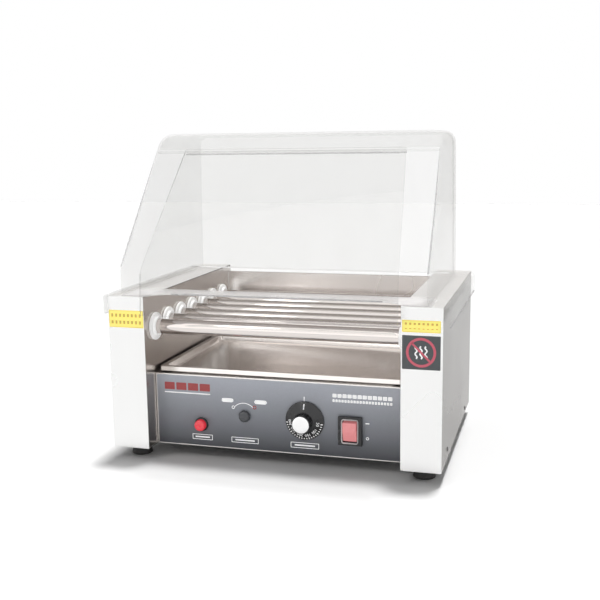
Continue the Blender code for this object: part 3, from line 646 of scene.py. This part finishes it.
# ---- rollers ---------------------------------------------------------------
def tooth_ring(bm, x0, x1, centre, root, tip, bore, teeth):
    outer, inner = [], []
    for k in range(teeth * 8):
        t = 2 * math.pi * k / (teeth * 8)
        rise = (1.0, 0.85, 0.25, 0.0, 0.0, 0.0, 0.25, 0.85)[k % 8]
        r = root + (tip - root) * rise
        outer.append((centre.y + r * math.cos(t), centre.z + r * math.sin(t)))
        inner.append((centre.y + bore * math.cos(t), centre.z + bore * math.sin(t)))
    band(bm, outer, inner, x0, x1, "YZ")


def make_rollers(mats):
    heater = corners("heater_1")
    for k in range(1, ROLLERS + 1):
        node = "roller_%d" % k
        low, high = corners(node)
        rod = corners("heater_%d" % k)
        axis = Vector((0.0, (rod[0].y + rod[1].y) / 2, (heater[0].z + heater[1].z) / 2))
        tip = (high.y - low.y) / 2
        tube, bore, soft = TUBE_R, 0.0085, 0.0005
        profile = [(low.x, bore), (low.x, tube - soft), (low.x + soft * 0.3, tube - soft * 0.3),
                   (low.x + soft, tube),
                   (high.x - soft, tube), (high.x - soft * 0.3, tube - soft * 0.3), (high.x, tube - soft),
                   (high.x, bore)]
        bm = bmesh.new()
        lathe(bm, "X", axis, profile, 96, ring=True)
        tooth_ring(bm, high.x - 0.0045, high.x - 0.0015, axis, 0.0112, tip, tube - 0.0004, 10)
        piece(node + "_tube", finish_mesh(bm, node, 35.0), [mats["roller"]], node, (node,))
        for side, way in (("left", -1), ("right", 1)):
            make_bushing("bushing_%s_%d" % (side, k), way, axis, tube + 0.0003, mats)


def make_bushing(node, way, axis, bore, mats):
    low, high = corners(node)
    rim = (high.z - low.z) / 2
    near, far = (high.x, low.x) if way < 0 else (low.x, high.x)
    neck, boss = 0.0125, 0.0128
    face = near + way * 0.0030
    flange = face + way * 0.0032
    profile = [(near, bore + 0.0002), (near + way * 0.0002, bore), (far, bore), (far, neck - 0.0004),
               (far - way * 0.0004, neck), (flange, neck), (flange, rim - 0.0005),
               (flange - way * 0.0005, rim),
               (face + way * 0.0008, rim), (face + way * 0.0002, rim - 0.0003), (face, rim - 0.0009),
               (face, boss + 0.0006), (face - way * 0.0002, boss + 0.0002), (face - way * 0.0006, boss),
               (near + way * 0.0007, boss), (near + way * 0.0002, boss - 0.0002), (near, boss - 0.0007)]
    bm = bmesh.new()
    lathe(bm, "X", (0.0, axis.y, axis.z), profile, 72, ring=True)
    piece(node + "_ring", finish_mesh(bm, node, 30.0), [mats["ptfe"]], "chassis", (node,))


# ---- controls --------------------------------------------------------------
def make_dial(mats):
    low, high = corners("temperature_dial")
    centre = (low + high) / 2
    back, front = high.y, low.y
    rim, grip = (high.x - low.x) / 2, 0.0128
    edge_y, neck_y, neck_r = back - 0.0016, back - 0.0066, 0.0140
    skirt = [(back, 0.0), (back, rim - 0.0009), (back - 0.0003, rim - 0.0002), (back - 0.0008, rim),
             (edge_y + 0.0003, rim - 0.0002), (edge_y, rim - 0.0006), (neck_y, neck_r),
             (neck_y - 0.0004, neck_r - 0.0006)]
    body = [(neck_y - 0.0006, grip), (front + 0.0022, grip - 0.0003), (front + 0.0008, grip - 0.0009),
            (front + 0.0004, grip - 0.0016), (front + 0.0006, 0.0)]
    bm = bmesh.new()
    lathe(bm, "Y", (centre.x, 0.0, centre.z), skirt + body, 144,
          flute=(24, 0.0006, len(skirt), len(skirt) + 1))
    dial = piece("dial_skirt_and_grip", finish_mesh(bm, "dial", 28.0), [mats["black"]],
                 "temperature_dial",
                 ("temperature_dial",))
    cap = [(front + 0.0010, 0.0), (front + 0.0010, grip - 0.0019), (front + 0.0005, grip - 0.0017),
           (front + 0.0002, grip - 0.0023), (front + 0.0001, grip * 0.5), (front, 0.0)]
    bm = bmesh.new()
    lathe(bm, "Y", (centre.x, 0.0, centre.z), cap, 96)
    piece("dial_cap", finish_mesh(bm, "dial_cap"), [mats["silver"]], "temperature_dial")
    tilt = math.atan2(edge_y - neck_y, rim - 0.0006 - neck_r)
    bm = bmesh.new()

    def spot(angle, radius):
        share = (rim - 0.0006 - radius) / (rim - 0.0006 - neck_r)
        depth = edge_y + (neck_y - edge_y) * share
        return ring_frame(centre, math.radians(angle), radius, depth, tilt)

    for k, text in enumerate(("50", "100", "150", "200", "250", "300")):
        numeral(bm, text, 0.0056, spot(98 + 33 * k, 0.0184))
    for k in range(21):
        mark(bm, spot(98 + 8.25 * k, 0.0234), 0.0011, 0.0032 if k % 4 == 0 else 0.0022)
    mark(bm, spot(0, 0.0196), 0.0014, 0.0074)
    piece("dial_figures", finish_mesh(bm, "dial_figures"), [mats["white_ink_painted_glow"]], "temperature_dial")
    return dial


def make_knob(mats):
    low, high = corners("energy_knob")
    centre = (low + high) / 2
    wide, back, front = (high.x - low.x) / 2, high.y, low.y
    profile = [(back, 0.0), (back, wide - 0.0004), (back - 0.0003, wide), (back - 0.0030, wide - 0.0003),
               (front + 0.0013, wide - 0.0009), (front + 0.0006, wide - 0.0020),
               (front + 0.0002, wide - 0.0034), (front, 0.0)]
    bm = bmesh.new()
    lathe(bm, "Y", (centre.x, 0.0, centre.z), profile, 72, flute=(18, 0.0003, 2, 4))
    piece("energy_knob_dome", finish_mesh(bm, "energy_knob"), [mats["knob"]], "energy_knob",
          ("energy_knob",))


def make_lamp(mats):
    low, high = corners("pilot_lamp_lens")
    centre = (low + high) / 2
    wide, back, front = (high.x - low.x) / 2, high.y, low.y
    lens = [(back, 0.0), (back, wide - 0.0002), (back - 0.0003, wide), (front + 0.0024, wide),
            (front + 0.0014, wide - 0.0004),
            (front + 0.0007, wide - 0.0013), (front + 0.0003, wide - 0.0030), (front + 0.0002, 0.0022),
            (front + 0.0007, 0.0016),
            (front + 0.0008, 0.0)]
    bm = bmesh.new()
    lathe(bm, "Y", (centre.x, 0.0, centre.z), lens, 96, flute=(32, 0.00035, 2, 4))
    piece("lamp_lens", finish_mesh(bm, "lamp_lens"), [mats["lamp"]], "chassis",
          ("pilot_lamp_lens",))
    low, high = corners("pilot_lamp_bezel")
    wide, back, front = (high.x - low.x) / 2, high.y, low.y
    inner = (corners("pilot_lamp_lens")[1].x - corners("pilot_lamp_lens")[0].x) / 2 + 0.0001
    face = corners("control_fascia")[0].y
    ring = [(back, inner - 0.0008), (back, wide - 0.0022), (face, wide - 0.0022), (face, wide - 0.0004),
            (face - 0.0006, wide),
            (front + 0.0008, wide - 0.0003), (front + 0.0002, wide - 0.0009), (front, inner + 0.0004),
            (front + 0.0004, inner),
            (corners("pilot_lamp_lens")[1].y + 0.0001, inner),
            (corners("pilot_lamp_lens")[1].y + 0.0001, inner - 0.0008)]
    bm = bmesh.new()
    lathe(bm, "Y", (centre.x, 0.0, centre.z), ring, 72, ring=True)
    piece("lamp_bezel", finish_mesh(bm, "lamp_bezel"), [mats["black"]], "chassis",
          ("pilot_lamp_bezel",))


def make_switch(mats):
    sheet_copy("rocker_housing", "rocker_frame", "chassis", [mats["black"]], 0.0007, 4)
    sheet_copy("rocker", "rocker_paddle", "rocker", [mats["rocker"]], 0.0012, 5)
    low, high = corners("rocker")
    frame_low = corners("rocker_housing")[0]
    cx, cz = (low.x + high.x) / 2, (low.z + high.z) / 2
    wide, tall = high.x - low.x, high.z - low.z
    bm = bmesh.new()
    band(bm, rounded(cx, cz, wide + 0.0044, tall + 0.0060, 0.0034),
         rounded(cx, cz, wide + 0.0016, tall + 0.0032, 0.0020),
         frame_low.y - 0.0014, frame_low.y + 0.0004)
    piece("rocker_boot_rim", finish_mesh(bm, "rocker_boot_rim"), [mats["milky"]], "chassis")


# ---- printed marks and stickers ---------------------------------------------
def make_legend(mats):
    """Plain bars, boxes and rings where the printing is, with no words."""
    face = corners("control_fascia")[0].y
    floor_z = corners("left_tower_shell")[0].z
    front, back = face - 0.00006, face + 0.0001
    bm = bmesh.new()

    def boxed(x0, x1, z0, z1):
        cx, cz = (x0 + x1) / 2, floor_z + (z0 + z1) / 2
        wide, tall = x1 - x0, z1 - z0
        band(bm, rounded(cx, cz, wide, tall, 0.0006, 2), rounded(cx, cz, wide - 0.0016, tall - 0.0016,
            0.0002, 2), front, back)
        slab(bm, rounded(cx, cz, wide * 0.72, tall * 0.24, 0.0004, 2), front, back)

    boxed(-0.1176, -0.0888, 0.0096, 0.0171)
    boxed(-0.0620, -0.0241, 0.0094, 0.0169)
    boxed(0.0201, 0.0584, 0.0088, 0.0165)
    for x0, x1 in ((-0.0744, -0.0581), (-0.0288, -0.0119)):
        slab(bm, rounded((x0 + x1) / 2, floor_z + 0.0667, x1 - x0, 0.0052, 0.0025), front, back)
    cx, cz, radius = -0.0435, floor_z + 0.0465, 0.0175
    stroke(bm, [(cx + radius * math.cos(math.radians(a)), cz + radius * math.sin(math.radians(a)))
                for a in range(44, 138, 4)], 0.0009, front, back)
    x, z = -0.0583, floor_z + 0.0576
    band(bm, disc(x, z, 0.0023), disc(x, z, 0.0014), front, back)
    slab(bm, rounded(0.0391, floor_z + 0.0752, 0.0012, 0.0062, 0.0003, 2), front, back)
    for count, z, tall, share in ((12, 0.0824, 0.0048, 0.80), (20, 0.0757, 0.0034, 0.70)):
        step = 0.0784 / count
        for k in range(count):
            x = 0.0762 + step * (k + 0.5)
            slab(bm, rounded(x, floor_z + z, step * share, tall, 0.0005, 2), front, back)
    slab(bm, rounded(-0.1233, floor_z + 0.0728, 0.0655, 0.0014, 0.0004, 2), front, back)
    slab(bm, rounded(0.1222, floor_z + 0.0482, 0.0052, 0.0014, 0.0003, 2), front, back)
    band(bm, disc(0.1222, floor_z + 0.0284, 0.0020), disc(0.1222, floor_z + 0.0284, 0.0012), front, back)
    piece("legend_white", centred(finish_mesh(bm, "legend_white")), [mats["white_ink_painted_glow"]], "chassis")
    bm = bmesh.new()
    for k in range(4):
        slab(bm, rounded(-0.1484 + 0.0168 * k, floor_z + 0.0816, 0.0146, 0.0100, 0.0008, 3), front, back)
    x, z = -0.0287, floor_z + 0.0591
    band(bm, disc(x, z, 0.0026), disc(x, z, 0.0015), front, back)
    piece("legend_red", centred(finish_mesh(bm, "legend_red")), [mats["red_ink"]], "chassis")


def make_stickers(mats):
    """Plain coloured labels: two yellow ones with dark bars and a dark one with a ring and heat waves."""
    low, high = corners("right_tower_shell")
    face = low.y
    front, back = face - 0.00012, face + 0.0001
    top, over = face - 0.00018, face - 0.00010
    z0 = low.z
    yellow, ochre, dark = bmesh.new(), bmesh.new(), bmesh.new()
    for x0, x1, b0, b1 in ((-0.2188, -0.1696, 0.1645, 0.1875), (0.1705, 0.2171, 0.1751, 0.1900)):
        cx, cz = (x0 + x1) / 2, z0 + (b0 + b1) / 2
        wide, tall = x1 - x0, b1 - b0
        slab(yellow, rounded(cx, cz, wide, tall, 0.0008, 3), front, back)
        band(ochre, rounded(cx, cz, wide - 0.0010, tall - 0.0010, 0.0006, 3),
             rounded(cx, cz, wide - 0.0020, tall - 0.0020, 0.0004, 3), top, over)
        rows = 2
        for k in range(rows):
            z = cz + tall * 0.20 * (1 - 2 * k)
            high = tall * (0.20 if k == 0 or tall > 0.018 else 0.09)
            for j in range(8):
                x = cx + wide * 0.80 * (j / 7 - 0.5)
                slab(ochre, rounded(x, z, wide * 0.065, high, 0.0004, 2), top, over)
    cx, cz, wide, tall = 0.1939, z0 + 0.1504, 0.0464, 0.0418
    slab(dark, rounded(cx, cz, wide, tall, 0.0010, 3), front, back)
    piece("stickers_dark", centred(finish_mesh(dark, "stickers_dark")), [mats["dark_ink"]], "chassis")
    piece("stickers_ochre", centred(finish_mesh(ochre, "stickers_ochre")), [mats["ochre_ink_painted_glow"]], "chassis")
    piece("stickers_yellow", centred(finish_mesh(yellow, "stickers_yellow")), [mats["yellow_film_painted_glow"]],
          "chassis")
    bm = bmesh.new()
    cx, cz = 0.1937, z0 + 0.1506
    band(bm, disc(cx, cz, 0.0182, 64), disc(cx, cz, 0.0150, 64), top, over)
    half = 0.0158 * math.sqrt(0.5)
    stroke(bm, [(cx - half, cz + half), (cx, cz), (cx + half, cz - half)], 0.0026, top, over)
    piece("sign_ring", centred(finish_mesh(bm, "sign_ring")), [mats["pink_ink"]], "chassis")
    bm = bmesh.new()
    for k in range(3):
        x = cx + (k - 1) * 0.0060
        points = [(x + 0.0012 * math.sin(j * 0.32), cz - 0.0078 + 0.0004 * j) for j in range(40)]
        stroke(bm, points, 0.0017, face - 0.00015, over)
    piece("sign_waves", centred(finish_mesh(bm, "sign_waves")), [mats["white_ink_painted_glow"]], "chassis")


# ---- hood ------------------------------------------------------------------
def make_hood(mats):
    # The second material paints shade lines on the sheets' narrow cut edges.
    clear = [mats["clear"], mats["clear_edge"]]
    moulding = sheet_copy("hood", "hood_moulding", "hood", clear + [mats["tie"]], 0.0003,
                          2, 50.0,
                          rim=HOOD_SHEET)
    shelf = corners("left_tower_shell")[1].z
    # The flat strip across the front at shelf height gets the painted sheen.
    for face in moulding.data.polygons:
        if abs(face.normal.z) > 0.9 and abs(face.center.z - shelf) < 0.008 and abs(face.center.x) < 0.16:
            face.material_index = 2
    sheet_copy("front_door", "front_door_sheet", "front_door", clear, 0.0003, 2, 50.0,
               rim=DOOR_SHEET)
    low, high = corners("door_hinge_rod")
    centre = (low + high) / 2
    radius = (high.z - low.z) / 2
    bm = bmesh.new()
    lathe(bm, "X", (0.0, centre.y, centre.z), [(low.x, 0.0), (low.x, radius - 0.0003),
                                               (low.x + 0.0003, radius),
                                               (high.x - 0.0003, radius), (high.x, radius - 0.0003),
                                               (high.x, 0.0)], 32)
    piece("hinge_rod_clear", finish_mesh(bm, "hinge_rod"), [mats["clear"]], "hood",
          ("door_hinge_rod",))


# ---- CAD nodes that stay ----------------------------------------------------
def dress_nodes(mats):
    kept = {"control_fascia": "slate", "motor_sprocket": "screw", "drive_chain": "screw",
            "cable_inlet": "rubber",
            "gear_motor": "zinc", "motor_bracket": "zinc", "heater_bracket_left": "zinc",
            "heater_bracket_right": "zinc",
            "thermostat": "zinc", "energy_regulator": "black"}
    for k in range(1, ROLLERS + 1):
        kept["heater_%d" % k] = "screw"
    for node, mat in kept.items():
        for slot in NODES[node].material_slots:
            slot.material = mats[mat]


def build():
    make_camera()
    make_world()
    make_stage()
    make_lights()
    bpy.context.scene.view_settings.view_transform = "Standard"
    mats = make_materials()
    make_sheets(mats)
    make_screws(mats)
    make_feet(mats)
    make_rollers(mats)
    make_dial(mats)
    make_knob(mats)
    make_lamp(mats)
    make_switch(mats)
    make_legend(mats)
    make_stickers(mats)
    make_hood(mats)
    dress_nodes(mats)


build()
